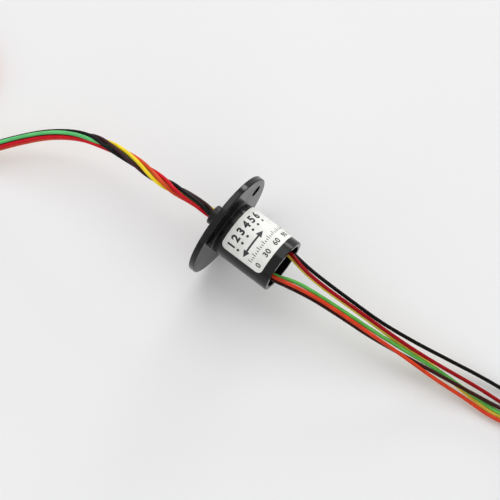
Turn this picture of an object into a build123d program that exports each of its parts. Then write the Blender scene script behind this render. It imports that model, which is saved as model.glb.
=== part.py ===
from build123d import *
import math
import os

# Slip ring with six circuits. A moulded housing with a round flange holds wire brushes, and a
# rotor with six contact rings turns inside it on two ball bearings. Six leads leave each side.
# The rotor turns about X. The origin is on that axis, in the seating face of the flange: the
# housing lies towards +X, the rotor's nose towards -X. Lengths are in millimetres, angles in degrees.

# Housing
flange_diameter = 24.8
flange_thickness = 1.4
flange_edge_radius = 0.2
hole_circle_offset = 0.35
hole_diameter = 2.8
hole_count = 3
first_hole_angle = 11.0
body_diameter = 12.5
body_length = 14.6
body_root_fillet = 0.3
bore_wall = 1.2
rim_wall = 1.0
rim_edge_chamfer = 0.15
front_wall_depth = 1.4
bearing_lip_depth = 0.8
nose_opening_gap = 0.8
rim_recess = 1.7

# Label wrapped round the body
label_start = 1.8
label_width = 10.6
label_thickness = 0.1
label_edge_angle = 146.6
label_wrap_angle = 275.0
label_corner_radius = 1.3

# Ball bearings
front_bearing_section = 1.5
front_bearing_width = 2.0
front_ball_share = 0.6
front_race_overlap = 0.05
front_ball_count = 10
rear_bearing_bore = 1.5
rear_bearing_section = 1.25
rear_bearing_width = 1.2
rear_ball_share = 0.48
rear_ball_count = 8
race_shoulder_share = 0.3
cage_thickness_share = 0.4
cage_width_share = 1.4
race_edge_share = 0.06
ball_clearance = 0.05

# Rotor core
nose_length = 3.2
nose_relief = 0.2
nose_wall = 1.0
shoulder_step = 0.6
shoulder_width = 0.9
barrel_end_wall = 0.6
nose_edge_chamfer = 0.2
lead_hole_diameter = 0.6
journal_overhang = 0.3

# Stack of contact rings and barriers on the barrel
ring_count = 6
ring_wall = 0.8
ring_groove_share = 0.357
ring_groove_depth = 0.18
barrier_width_share = 0.4167
barrier_stand = 0.5
barrier_edge_radius = 0.12

# Clamp collar and retaining ring behind the stack
collar_inset = 0.2
collar_thickness = 0.4
collar_hub_wall = 0.45
collar_hub_length = 0.9
retainer_stand = 0.55
retainer_thickness = 0.3
retainer_groove_depth = 0.15
retainer_gap_angle = 70.0

# Brush blocks and brushes
block_thickness = 1.1
block_running_gap = 0.45
block_half_height = 2.4
block_foot_thickness = 0.6
block_foot_setback = 0.05
block_foot_half_height = 1.3
brush_wire_diameter = 0.2
brush_root_half_height = 1.7
brush_root_depth = 0.15
brush_bend_radius = 0.35
brush_tip_overrun = 0.9
brush_slot_clearance = 0.08
brush_gap = 0.05

# End cap
cap_thickness = 1.6
cap_retainer_gap = 0.3
cap_bearing_wall = 0.4
cap_slot_edge_wall = 0.9
cap_slot_half_height = 1.1
cap_slot_corner_radius = 0.4

# Leads, their put-away coils and the ties round them
lead_diameter = 0.85
lead_pitch = 0.95
bundle_diameter = 2.55
coil_columns = 2
coil_levels = 3
coil_entry_radius = 12.0
coil_inner_radius = 5.4
coil_lead_in = 3.5
coil_edge_radius = 0.4
tie_width = 2.0
tie_thickness = 0.25
tie_corner_radius = 0.4

fit_clearance = 0.01
glue_clearance = 0.02
cut_overrun = 1.0

# Sizes across the axis, worked out from the housing inwards
body_radius = body_diameter / 2
flange_radius = flange_diameter / 2
bore_radius = body_radius - bore_wall
rim_radius = body_radius - rim_wall
floor_level = -flange_radius
hole_circle_diameter = (body_diameter + flange_diameter) / 2 + hole_circle_offset
block_face_offset = bore_radius - block_thickness
barrier_radius = block_face_offset - block_running_gap
ring_radius = barrier_radius - barrier_stand
barrel_radius = ring_radius - ring_wall
front_bearing_outer = 2 * (block_face_offset + front_race_overlap)
front_bearing_bore = front_bearing_outer - 2 * front_bearing_section
rear_bearing_outer = rear_bearing_bore + 2 * rear_bearing_section
nose_opening_radius = front_bearing_bore / 2 + nose_opening_gap
shoulder_radius = front_bearing_bore / 2 + shoulder_step
nose_radius = front_bearing_bore / 2 - nose_relief
lead_bore_radius = front_bearing_bore / 2 - nose_wall
collar_radius = ring_radius - collar_inset
collar_hub_radius = rear_bearing_bore / 2 + collar_hub_wall
retainer_radius = rear_bearing_bore / 2 + retainer_stand
cap_journal_opening_radius = retainer_radius + cap_retainer_gap
cap_slot_inner_offset = rear_bearing_outer / 2 + cap_bearing_wall
cap_slot_outer_offset = rim_radius - cap_slot_edge_wall
block_foot_inner_offset = cap_slot_inner_offset + block_foot_setback

# Places along the axis, from the flange to the rim
front_face_x = -flange_thickness
nose_tip_x = front_face_x - nose_length
front_bearing_x = front_face_x + bearing_lip_depth
shoulder_x = front_bearing_x + front_bearing_width
stack_x = shoulder_x + shoulder_width
cap_x = body_length - rim_recess - cap_thickness
hub_x = cap_x - collar_hub_length
stack_end_x = hub_x - collar_thickness
rear_bearing_end_x = cap_x + rear_bearing_width
journal_end_x = rear_bearing_end_x + retainer_thickness + journal_overhang

# The stack fills the barrel: rings with a barrier on both sides of each
stack_pitch = (stack_end_x - stack_x) / (ring_count + barrier_width_share)
barrier_width = stack_pitch * barrier_width_share
ring_width = stack_pitch - barrier_width
ring_groove_radius = ring_width * ring_groove_share
ring_centres = [stack_x + barrier_width + ring_width / 2 + n * stack_pitch for n in range(ring_count)]

# The put-away leads lie side by side and on top of each other
coil_height = tie_thickness + coil_levels * lead_pitch
coil_half_strand = coil_columns * lead_pitch / 2

# Routes of the six stator leads, from the brush block to the coil, in the order of their circuits.
# Circuits 1, 3 and 5 belong to the block on the +Y side, circuits 2, 4 and 6 to the other one.
stator_routes = {
    "black": [(11.3, 3.8, -0.26), (14.0, 3.8, -0.26), (18.5, 3.45, -0.5), (24.0, 3.5, -1.2),
              (31.0, 3.95, -2.9), (38.0, 4.6, -4.8), (46.0, 6.3, -6.9), (54.0, 8.1, -8.8),
              (62.0, 9.7, -10.4), (69.5, 10.3, -11.4), (77.0, 8.08, -11.68), (94.5, 8.08, -11.68)],
    "green": [(11.3, -2.9, -0.26), (14.0, -2.9, -0.26), (18.5, -0.7, -0.4), (24.0, 0.4, -1.2),
              (31.0, 1.0, -2.9), (38.0, 1.75, -4.8), (46.0, 3.0, -6.8), (54.0, 4.55, -9.1),
              (62.0, 5.2, -10.75), (69.5, 5.55, -10.9), (77.0, 7.12, -9.78), (94.5, 7.12, -9.78)],
    "red": [(11.3, 3.35, 0.52), (14.0, 3.35, 0.52), (18.5, 2.35, 0.3), (24.0, 2.3, -0.6),
            (31.0, 2.85, -2.3), (38.0, 3.5, -4.2), (46.0, 4.75, -6.3), (54.0, 6.15, -8.2),
            (62.0, 7.35, -9.8), (69.5, 7.85, -10.8), (77.0, 8.08, -10.73), (94.5, 8.08, -10.73)],
    "orange": [(11.3, -3.35, 0.52), (14.0, -3.35, 0.52), (18.5, -2.2, 0.25), (24.0, -1.0, -0.7),
               (31.0, -0.1, -2.4), (38.0, 0.7, -4.3), (46.0, 1.75, -6.3), (54.0, 2.5, -8.5),
               (62.0, 3.2, -10.5), (69.5, 3.95, -11.3), (77.0, 7.12, -10.73), (94.5, 7.12, -10.73)],
    "yellow": [(11.3, 2.9, -0.26), (14.0, 2.9, -0.26), (18.5, 1.85, -0.45), (24.0, 1.85, -1.4),
               (31.0, 2.3, -3.1), (38.0, 2.9, -5.0), (46.0, 3.95, -7.6), (54.0, 4.5, -10.3),
               (62.0, 4.6, -11.75), (69.5, 4.95, -11.95), (77.0, 7.12, -11.68), (94.5, 7.12, -11.68)],
    "brown": [(11.3, -3.8, -0.26), (14.0, -3.8, -0.26), (18.5, -3.05, -0.5), (24.0, -1.95, -1.3),
              (31.0, -0.95, -3.1), (38.0, 0.15, -5.2), (46.0, 2.1, -7.5), (54.0, 3.6, -8.45),
              (62.0, 5.2, -9.65), (69.5, 6.65, -10.1), (77.0, 8.08, -9.78), (94.5, 8.08, -9.78)],
}

# Route of the twisted bundle of rotor leads, from inside the nose to its coil
bundle_route = [(-2.6, 0.0, 0.0), (-9.0, 0.0, 0.0), (-18.0, -1.25, 0.3), (-28.0, -0.95, -0.3),
                (-37.0, -2.4, -1.6), (-44.6, -6.2, -3.9), (-50.8, -11.8, -6.6), (-56.5, -18.4, -9.2),
                (-61.5, -21.3, -10.5), (-67.0, -21.5, -10.73), (-72.5, -21.5, -10.73)]


def bar(x_start, x_end, radius):
    """A round bar along the axis."""
    return Plane.YZ.offset(x_start) * extrude(Circle(radius), x_end - x_start)


def turned(points):
    """A solid turned about the axis from an outline of places along the axis and radii."""
    return revolve(make_face(Polyline(*points, close=True)), Axis.X)


def sector(x_start, x_end, radius, angle_from, angle_to):
    """A wedge of a round bar between two angles, counted from +Y towards +Z."""
    middle = (angle_from + angle_to) / 2
    corners = [(0, 0)]
    for angle in (angle_from, middle, angle_to):
        reach = radius / math.cos(math.radians(angle_to - angle_from) / 4)
        corners.append((reach * math.cos(math.radians(angle)), reach * math.sin(math.radians(angle))))
    return Plane.YZ.offset(x_start) * extrude(make_face(Polyline(*corners, close=True)), x_end - x_start)


def make_housing():
    """One moulding: flange, barrel, front bearing seat and the stepped bore for blocks and cap."""
    outline = [(front_face_x, 0), (front_face_x, flange_radius), (0, flange_radius),
               (0, body_radius), (body_length, body_radius), (body_length, 0)]
    solid = turned(outline)
    edges = solid.edges().filter_by(GeomType.CIRCLE)
    rim = edges.filter_by(lambda e: abs(e.radius - flange_radius) < fit_clearance)
    solid = fillet(rim, flange_edge_radius)
    edges = solid.edges().filter_by(GeomType.CIRCLE)
    root = edges.filter_by(lambda e: e.radius < flange_radius - body_root_fillet and abs(e.center().X) < fit_clearance)
    solid = fillet(root, body_root_fillet)
    edges = solid.edges().filter_by(GeomType.CIRCLE)
    end = edges.filter_by(lambda e: abs(e.center().X - body_length) < fit_clearance)
    solid = chamfer(end, rim_edge_chamfer)
    solid -= bar(front_face_x - cut_overrun, front_bearing_x + cut_overrun, nose_opening_radius)
    solid -= bar(front_bearing_x, front_wall_depth + cut_overrun, front_bearing_outer / 2 + fit_clearance)
    solid -= bar(front_wall_depth, cap_x + cut_overrun, bore_radius)
    solid -= bar(cap_x, body_length + cut_overrun, rim_radius)
    hole = Plane.YZ.offset(front_face_x - cut_overrun) * extrude(
        Pos(hole_circle_diameter / 2, 0) * Circle(hole_diameter / 2), flange_thickness + 2 * cut_overrun)
    for n in range(hole_count):
        solid -= Rot(X=first_hole_angle + n * 360 / hole_count) * hole
    return solid


def make_label():
    """A film with rounded corners, wrapped most of the way round the body."""
    inner = body_radius + fit_clearance
    outer = inner + label_thickness
    end_x = label_start + label_width
    far_angle = label_edge_angle - label_wrap_angle
    film = bar(label_start, end_x, outer) - bar(label_start - cut_overrun, end_x + cut_overrun, inner)
    gap = 360 - label_wrap_angle
    film -= sector(label_start - cut_overrun, end_x + cut_overrun, outer + cut_overrun,
                   label_edge_angle, label_edge_angle + gap)
    corner_angle = math.degrees(label_corner_radius / outer)
    for angle, way in ((label_edge_angle, -1), (far_angle, 1)):
        for x, side in ((label_start, 1), (end_x, -1)):
            centre_angle = angle + way * corner_angle
            block = Box(2 * label_corner_radius, 2 * label_corner_radius, 2 * cut_overrun)
            round_bar = Cylinder(label_corner_radius, 3 * cut_overrun)
            offset = label_corner_radius
            block = Pos(-side * offset, -way * offset, 0) * block
            place = Rot(X=centre_angle) * Pos(x + side * offset, outer, 0) * Rot(X=-90)
            # In the turned frame local Y points against the wrap, so the block faces the edge
            film -= place * (mirror(block, Plane.XZ) - round_bar)
    return film


def make_race(x, width, radius_in, radius_out, pitch_radius, ball_diameter):
    """A bearing race with a groove for the balls and broken edges."""
    edge = race_edge_share * width
    outline = [(x, radius_in + edge), (x + edge, radius_in), (x + width - edge, radius_in),
               (x + width, radius_in + edge), (x + width, radius_out - edge),
               (x + width - edge, radius_out), (x + edge, radius_out), (x, radius_out - edge)]
    groove = Pos(x + width / 2, pitch_radius) * Circle(ball_diameter / 2 + ball_clearance)
    return revolve(make_face(Polyline(*outline, close=True)) - groove, Axis.X)


def make_bearing(name, x, bore, outer, width, ball_share, ball_count):
    """Both races, the balls and their cage, as separate solids that clear each other."""
    pitch_radius = (bore + outer) / 4
    ball_diameter = ball_share * (outer - bore) / 2
    shoulder = race_shoulder_share * ball_diameter
    pieces = {}
    pieces[name + "_inner_race"] = make_race(x, width, bore / 2 + fit_clearance, pitch_radius - shoulder,
                                             pitch_radius, ball_diameter)
    pieces[name + "_outer_race"] = make_race(x, width, pitch_radius + shoulder, outer / 2,
                                             pitch_radius, ball_diameter)
    middle = x + width / 2
    half_band = cage_thickness_share * ball_diameter / 2
    half_width = cage_width_share * ball_diameter / 2
    cage = bar(middle - half_width, middle + half_width, pitch_radius + half_band)
    cage -= bar(middle - half_width - cut_overrun, middle + half_width + cut_overrun, pitch_radius - half_band)
    balls = []
    for n in range(ball_count):
        place = Rot(X=n * 360 / ball_count) * Pos(middle, pitch_radius, 0)
        balls.append(place * Sphere(ball_diameter / 2))
        cage -= place * Rot(X=90) * Cylinder(ball_diameter / 2 + ball_clearance, ball_diameter)
    pieces[name + "_cage"] = cage
    pieces[name + "_balls"] = Compound(children=balls)
    return pieces


def make_rotor_core():
    """Nose, shoulder, barrel and rear journal, with a blind bore for the leads."""
    seat_radius = front_bearing_bore / 2
    journal_radius = rear_bearing_bore / 2
    bore_end_x = stack_end_x - barrel_end_wall
    outline = [(nose_tip_x, 0), (nose_tip_x, nose_radius - nose_edge_chamfer),
               (nose_tip_x + nose_edge_chamfer, nose_radius), (front_bearing_x, nose_radius),
               (front_bearing_x, seat_radius), (shoulder_x, seat_radius),
               (shoulder_x, shoulder_radius), (stack_x, shoulder_radius),
               (stack_x, barrel_radius), (stack_end_x, barrel_radius), (stack_end_x, journal_radius),
               (journal_end_x, journal_radius), (journal_end_x, 0)]
    core = turned(outline)
    core -= bar(nose_tip_x - cut_overrun, bore_end_x, lead_bore_radius)
    groove_radius = journal_radius - retainer_groove_depth
    groove = bar(rear_bearing_end_x, rear_bearing_end_x + retainer_thickness, journal_radius + cut_overrun)
    groove -= bar(rear_bearing_end_x, rear_bearing_end_x + retainer_thickness, groove_radius)
    core -= groove
    # One lead passes out to each contact ring, a sixth of a turn from the next
    for n, x in enumerate(ring_centres):
        wall_hole = Pos(x, barrel_radius, 0) * Rot(X=90) * Cylinder(lead_hole_diameter / 2, 2 * barrel_radius)
        core -= Rot(X=n * 360 / ring_count) * wall_hole
    return core


def make_contact_ring(centre):
    """A turned ring with a rounded groove for its brush."""
    inner = barrel_radius + fit_clearance
    band = Pos(centre, (inner + ring_radius) / 2) * Rectangle(ring_width, ring_radius - inner)
    groove_centre = ring_radius + ring_groove_radius - ring_groove_depth
    groove = Pos(centre, groove_centre) * Circle(ring_groove_radius)
    return revolve(band - groove, Axis.X)


def make_barrier(start):
    """An insulating disc that stands proud of the rings beside it."""
    inner = barrel_radius + fit_clearance
    outer = barrier_radius
    band = Pos(start + barrier_width / 2, (inner + outer) / 2) * Rectangle(barrier_width, outer - inner)
    tips = band.vertices().filter_by(lambda v: v.Y > (inner + outer) / 2)
    return revolve(fillet(tips, barrier_edge_radius), Axis.X)


def make_clamp_collar():
    """Holds the stack against the shoulder; its hub stands off the rear bearing."""
    bore = rear_bearing_bore / 2 + fit_clearance
    outline = [(stack_end_x, bore), (stack_end_x, collar_radius), (hub_x, collar_radius),
               (hub_x, collar_hub_radius), (cap_x, collar_hub_radius), (cap_x, bore)]
    return turned(outline)


def make_retaining_ring():
    """An open ring in the groove of the rear journal."""
    start = rear_bearing_end_x
    end = start + retainer_thickness
    inner = rear_bearing_bore / 2 - retainer_groove_depth + fit_clearance
    ring = bar(start, end, retainer_radius) - bar(start, end, inner)
    return ring - sector(start, end, 2 * retainer_radius, -retainer_gap_angle / 2, retainer_gap_angle / 2)


def make_brush(centre, side):
    """A hairpin of round wire: its bend lies in the block, its tines pass over and under the ring."""
    wire_radius = brush_wire_diameter / 2
    touch_radius = ring_radius - ring_groove_depth + wire_radius + brush_gap
    root_y = block_face_offset + brush_root_depth
    root_z = brush_root_half_height
    reach = math.hypot(root_y, root_z)
    touch_angle = math.atan2(root_z, root_y) + math.acos(touch_radius / reach)
    tangent_length = math.sqrt(reach ** 2 - touch_radius ** 2)
    along = 1 + brush_tip_overrun / tangent_length
    tip_y = root_y + along * (touch_radius * math.cos(touch_angle) - root_y)
    tip_z = root_z + along * (touch_radius * math.sin(touch_angle) - root_z)
    path = FilletPolyline((centre, side * tip_y, tip_z), (centre, side * root_y, root_z),
                          (centre, side * root_y, -root_z), (centre, side * tip_y, -tip_z),
                          radius=brush_bend_radius)
    return sweep(Plane(path @ 0, z_dir=path % 0) * Circle(wire_radius), path=path)


def make_brush_block(side):
    """A strip with a curved back that seats in the housing's bore; its foot carries the lead ends."""
    back = bore_radius - glue_clearance
    shoulder = math.sqrt(back ** 2 - block_half_height ** 2)
    face = block_face_offset
    outline = (Polyline((shoulder, -block_half_height), (face, -block_half_height),
                        (face, block_half_height), (shoulder, block_half_height))
               + ThreePointArc((shoulder, block_half_height), (back, 0), (shoulder, -block_half_height)))
    strip = Plane.YZ.offset(front_wall_depth) * extrude(make_face(outline), cap_x - front_wall_depth)
    foot_width = block_face_offset - block_foot_inner_offset + brush_root_depth
    foot = Pos(block_foot_inner_offset + foot_width / 2, 0) * Rectangle(foot_width, 2 * block_foot_half_height)
    block = strip + Plane.YZ.offset(cap_x - block_foot_thickness) * extrude(foot, block_foot_thickness)
    slot_depth = brush_root_depth + brush_wire_diameter / 2 + brush_slot_clearance
    slot_width = brush_wire_diameter + 2 * brush_slot_clearance
    slot_height = 2 * (brush_root_half_height + brush_wire_diameter)
    first = 0 if side > 0 else 1
    for centre in ring_centres[first::2]:
        slot = Box(slot_width, slot_depth + cut_overrun, slot_height)
        block -= Pos(centre, face + (slot_depth - cut_overrun) / 2, 0) * slot
    return block if side > 0 else mirror(block, Plane.XZ)


def make_end_cap():
    """Closes the housing, carries the rear bearing and lets three leads out on each side."""
    cap = bar(cap_x, cap_x + cap_thickness, rim_radius - glue_clearance)
    cap -= bar(cap_x - cut_overrun, rear_bearing_end_x, rear_bearing_outer / 2 + fit_clearance)
    cap -= bar(rear_bearing_end_x - cut_overrun, cap_x + cap_thickness + cut_overrun, cap_journal_opening_radius)
    width = cap_slot_outer_offset - cap_slot_inner_offset
    middle = (cap_slot_outer_offset + cap_slot_inner_offset) / 2
    opening = RectangleRounded(width, 2 * cap_slot_half_height, cap_slot_corner_radius)
    for side in (1, -1):
        cap -= Plane.YZ.offset(cap_x - cut_overrun) * extrude(
            Pos(side * middle, 0) * opening, cap_thickness + 2 * cut_overrun)
    return cap


def cord_tube(name, points, diameter):
    """A round tube along straight runs joined by arcs as large as the runs allow."""
    places = [Vector(*p) for p in points]
    runs = [b - a for a, b in zip(places, places[1:])]
    radii = []
    for before, after in zip(runs, runs[1:]):
        half_turn = math.radians(before.get_angle(after)) / 2
        radii.append(0.45 * min(before.length, after.length) / math.tan(half_turn))
    path = FilletPolyline(*points, radius=radii)
    tube = sweep(Plane(path @ 0, z_dir=path % 0) * Circle(diameter / 2), path=path)
    section = math.pi * diameter ** 2 / 4
    print(name, "smallest bend", round(min(radii), 1), "length", round(path.length, 1),
          "volume share", round(tube.volume / (section * path.length), 4))
    print("   radii", [round(r, 1) for r in radii])
    return tube


def make_coil(entry, way, side):
    """The outer shape of the coiled leads: a flat spiral that the leads enter at a tangent."""
    outer = coil_entry_radius + coil_half_strand
    strand_inner = coil_entry_radius - coil_half_strand
    half_step = coil_half_strand
    # The first half turn runs about the centre, the second about a point half a strand away
    outline = (Polyline((0, -strand_inner), (-coil_lead_in, -strand_inner), (-coil_lead_in, -outer), (0, -outer))
               + ThreePointArc((0, -outer), (outer, 0), (0, outer))
               + ThreePointArc((0, outer), (-outer + half_step, half_step), (0, -strand_inner)))
    face = make_face(outline) - Circle(coil_inner_radius)
    coil = extrude(face, coil_height)
    inner_edges = coil.edges().filter_by(GeomType.CIRCLE).filter_by(
        lambda e: e.center().Z > coil_height / 2 and abs(e.radius - coil_inner_radius) < fit_clearance)
    coil = fillet(inner_edges, coil_edge_radius)
    if way < 0:
        coil = mirror(coil, Plane.YZ)
    if side < 0:
        coil = mirror(coil, Plane.XZ)
    centre = (entry[0] + way * coil_lead_in, entry[1] + side * coil_entry_radius)
    return Pos(centre[0], centre[1], floor_level) * coil, centre


def make_tie(centre, side):
    """A flat band round the coil on its far side, let into the underside."""
    outer = coil_entry_radius + coil_half_strand + tie_thickness
    inner = coil_inner_radius - tie_thickness
    middle = centre[1] + side * (outer + inner) / 2
    height = coil_height + tie_thickness
    loop = RectangleRounded(outer - inner, height, tie_corner_radius)
    hollow = Rectangle(outer - inner - 2 * tie_thickness, height - 2 * tie_thickness)
    band = Plane.YZ * extrude(loop - hollow, tie_width / 2, both=True)
    return Pos(centre[0], middle, floor_level + height / 2) * band


def build_pieces():
    """Every piece of the object, by the name of its node."""
    pieces = {"housing": make_housing(), "label": make_label(), "end_cap": make_end_cap(),
              "rotor_core": make_rotor_core(), "clamp_collar": make_clamp_collar(),
              "retaining_ring": make_retaining_ring(),
              "brush_block_a": make_brush_block(1), "brush_block_b": make_brush_block(-1)}
    pieces.update(make_bearing("front_bearing", front_bearing_x, front_bearing_bore, front_bearing_outer,
                               front_bearing_width, front_ball_share, front_ball_count))
    pieces.update(make_bearing("rear_bearing", cap_x, rear_bearing_bore, rear_bearing_outer,
                               rear_bearing_width, rear_ball_share, rear_ball_count))
    for n, centre in enumerate(ring_centres):
        pieces[f"contact_ring_{n + 1}"] = make_contact_ring(centre)
        pieces[f"brush_{n + 1}"] = make_brush(centre, 1 if n % 2 == 0 else -1)
    for n in range(ring_count + 1):
        pieces[f"barrier_{n + 1}"] = make_barrier(stack_x + n * stack_pitch)
    for colour, route in stator_routes.items():
        pieces[f"stator_lead_{colour}"] = cord_tube(colour, route, lead_diameter)
    pieces["rotor_lead_bundle"] = cord_tube("bundle", bundle_route, bundle_diameter)
    outer_column, inner_column = stator_routes["black"][-1], stator_routes["yellow"][-1]
    stator_entry = (outer_column[0], (outer_column[1] + inner_column[1]) / 2)
    rotor_entry = (bundle_route[-1][0], bundle_route[-1][1])
    for name, entry, way, side in (("stator", stator_entry, 1, -1), ("rotor", rotor_entry, -1, 1)):
        coil, centre = make_coil(entry, way, side)
        tie = make_tie(centre, side)
        pieces[f"{name}_lead_coil"] = coil - tie
        pieces[f"{name}_lead_tie"] = tie
    return pieces


os.makedirs("parts", exist_ok=True)
for node, solid in build_pieces().items():
    solid.label = node
    export_step(solid, f"parts/{node}.step")
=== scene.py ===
# %% [markdown]
# # A miniature slip ring
#
# This slip ring is a small capsule that lets a wire turn for ever without winding up. Its black
# moulded housing ends in a round flange, and a pale label is wrapped round it. A turning rotor
# sticks out of the flange as a short nose, from which six twisted leads come. Six more leads
# leave the other end and stay still. The solid pieces come in ready made, at their real size, as
# a fixed frame, so this lesson is about everything that a solid doesn't say: where the soft leads
# lie, what each surface is made of, what is printed on the label, and how the light falls.

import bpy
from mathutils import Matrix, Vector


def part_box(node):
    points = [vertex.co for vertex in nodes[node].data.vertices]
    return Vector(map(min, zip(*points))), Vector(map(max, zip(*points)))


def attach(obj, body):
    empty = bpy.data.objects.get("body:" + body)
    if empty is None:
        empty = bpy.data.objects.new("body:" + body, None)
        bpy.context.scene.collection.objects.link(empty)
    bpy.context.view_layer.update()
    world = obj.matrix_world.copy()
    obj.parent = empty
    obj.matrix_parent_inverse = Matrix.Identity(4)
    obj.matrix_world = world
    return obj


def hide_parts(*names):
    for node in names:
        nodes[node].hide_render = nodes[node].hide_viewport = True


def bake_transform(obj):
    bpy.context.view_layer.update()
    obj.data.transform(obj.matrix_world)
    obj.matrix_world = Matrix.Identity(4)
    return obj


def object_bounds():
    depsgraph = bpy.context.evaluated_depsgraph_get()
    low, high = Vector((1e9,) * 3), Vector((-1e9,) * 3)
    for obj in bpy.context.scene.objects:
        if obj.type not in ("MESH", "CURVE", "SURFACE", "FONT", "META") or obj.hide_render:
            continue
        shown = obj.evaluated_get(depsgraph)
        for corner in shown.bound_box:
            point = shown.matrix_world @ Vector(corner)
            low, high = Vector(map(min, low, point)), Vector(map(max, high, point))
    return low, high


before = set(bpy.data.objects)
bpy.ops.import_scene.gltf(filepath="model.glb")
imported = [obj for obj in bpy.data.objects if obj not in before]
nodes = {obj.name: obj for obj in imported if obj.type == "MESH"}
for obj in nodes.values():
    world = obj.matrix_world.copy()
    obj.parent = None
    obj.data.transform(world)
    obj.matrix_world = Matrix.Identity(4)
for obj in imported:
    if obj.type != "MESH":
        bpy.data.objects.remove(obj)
cad_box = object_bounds()

# %% The modules of this lesson and a first helper
import math

import bmesh
import bpy
from mathutils import Vector

scene = bpy.context.scene
mm = 0.001


def new_piece(name, data):
    """An object that carries the data, linked to the scene."""
    piece = bpy.data.objects.new(name, data)
    scene.collection.objects.link(piece)
    return piece


# %% [markdown]
# ## The camera
#
# The slip ring lies on its flange's rim, and the camera looks steeply down on it from the side of
# the fixed leads. A long lens from a little under 40 cm keeps the small object free of strong
# perspective. The camera is placed by where it looks, how far away it is, and two angles, because
# these are the numbers that a photographer would change.

# %% Place the camera
look_at = Vector((6.5, -1.15, -1.4)) * mm
camera_distance = 0.380
camera_elevation = math.radians(73.96)
camera_heading = math.radians(128.07)
sensor_width = 36.0
focal_length = 127.2

level = Vector((math.cos(camera_heading), math.sin(camera_heading), 0))
looking = level * math.cos(camera_elevation) - Vector((0, 0, math.sin(camera_elevation)))
camera = new_piece("camera", bpy.data.cameras.new("camera"))
camera.location = look_at - camera_distance * looking
camera.rotation_mode = "QUATERNION"
camera.rotation_quaternion = looking.to_track_quat("-Z", "Y")
camera.data.sensor_width = sensor_width
camera.data.lens = focal_length
camera.data.dof.use_dof = False
scene.camera = camera
print("camera at", [round(c, 4) for c in camera.location])

# %% [markdown]
# ## Where the leads lie
#
# Each lead is a limp wire, 0.85 mm thick and 250 mm long. Three come out of each of the two slots
# in the rear end, sag to the table and run off together. A lead's line could be drawn as straight
# runs with rounded corners, but that looks like bent wire. A NURBS spline of order 3 bends all
# the way along, so every route here is a short list of control points, in metres.
# The part that is put away lies in a flat coil, two leads wide and three high, held by a tie.

# %% Routes of the six fixed leads
stator_routes = {
    "black": [(0.0113, 0.0038, -0.00026), (0.014, 0.0038, -0.00026), (0.0185, 0.0032, -0.0005),
              (0.024, 0.0032, -0.0012), (0.031, 0.00365, -0.0029), (0.038, 0.0042, -0.0048),
              (0.046, 0.00565, -0.0069), (0.054, 0.0075, -0.0088), (0.062, 0.0093, -0.0104),
              (0.0695, 0.0104, -0.0114), (0.077, 0.0091, -0.01168), (0.0945, 0.00808, -0.01168)],
    "green": [(0.0113, -0.0029, -0.00026), (0.014, -0.0029, -0.00026), (0.0185, -0.0009, -0.0004),
              (0.024, -0.00005, -0.0012), (0.031, 0.00085, -0.0029), (0.038, 0.0017, -0.0048),
              (0.046, 0.0029, -0.0068), (0.054, 0.0044, -0.009), (0.062, 0.0049, -0.0107),
              (0.0695, 0.0052, -0.0109), (0.077, 0.00712, -0.00978), (0.0945, 0.00712, -0.00978)],
    "red": [(0.0113, 0.00335, 0.00052), (0.014, 0.00335, 0.00052), (0.0185, 0.0021, 0.0004),
            (0.024, 0.002, -0.00055), (0.031, 0.0026, -0.0022), (0.038, 0.0032, -0.0041),
            (0.046, 0.00395, -0.0062), (0.054, 0.0052, -0.0081), (0.062, 0.0067, -0.0098),
            (0.0695, 0.0075, -0.0108), (0.077, 0.00808, -0.01073), (0.0945, 0.00808, -0.01073)],
    "orange": [(0.0113, -0.00335, 0.00052), (0.014, -0.00335, 0.00052), (0.0185, -0.00215, 0.0003),
               (0.024, -0.00095, -0.0006), (0.031, -0.00005, -0.0023), (0.038, 0.0007, -0.0043),
               (0.046, 0.0016, -0.0063), (0.054, 0.0022, -0.0085), (0.062, 0.0033, -0.0105),
               (0.0695, 0.0036, -0.0114), (0.077, 0.0062, -0.01073), (0.0945, 0.00712, -0.01073)],
    "yellow": [(0.0113, 0.0029, -0.00026), (0.014, 0.0029, -0.00026), (0.0185, 0.00195, -0.0006),
               (0.024, 0.00185, -0.0015), (0.031, 0.00245, -0.0032), (0.038, 0.003, -0.0051),
               (0.046, 0.00355, -0.0075), (0.054, 0.0049, -0.0103), (0.062, 0.0043, -0.0114),
               (0.0695, 0.0046, -0.0117), (0.077, 0.00712, -0.01168), (0.0945, 0.00712, -0.01168)],
    "brown": [(0.0113, -0.0038, -0.00026), (0.014, -0.0038, -0.00026), (0.0185, -0.00265, -0.00065),
              (0.024, -0.00145, -0.0015), (0.031, -0.0005, -0.0032), (0.038, 0.00035, -0.00525),
              (0.046, 0.002, -0.0075), (0.054, 0.00335, -0.0082), (0.062, 0.00485, -0.0095),
              (0.0695, 0.00615, -0.0101), (0.077, 0.00808, -0.00978), (0.0945, 0.00808, -0.00978)],
}

# %% Route of the twisted bundle of six turning leads
bundle_route = [
    (-0.0026, 0.0, 0.0), (-0.009, 0.0, 0.0), (-0.018, -0.00125, 0.0003),
    (-0.028, -0.00095, -0.0003), (-0.037, -0.0024, -0.0016), (-0.0446, -0.0062, -0.0039),
    (-0.0508, -0.0118, -0.0066), (-0.0565, -0.0184, -0.0092), (-0.0615, -0.0213, -0.0105),
    (-0.067, -0.0215, -0.01073), (-0.0725, -0.0215, -0.01073)]

# %% Sizes of the leads and their coils
lead_diameter = 0.85 * mm
lead_length = 250.0 * mm
lead_pitch = 0.95 * mm
coil_columns = 2
coil_entry_radius = 12.0 * mm
coil_lead_in = 3.5 * mm
coil_shrink = coil_columns * lead_pitch / (2 * math.pi)
coil_points_per_turn = 24
tip_length = 4.0 * mm
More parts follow.
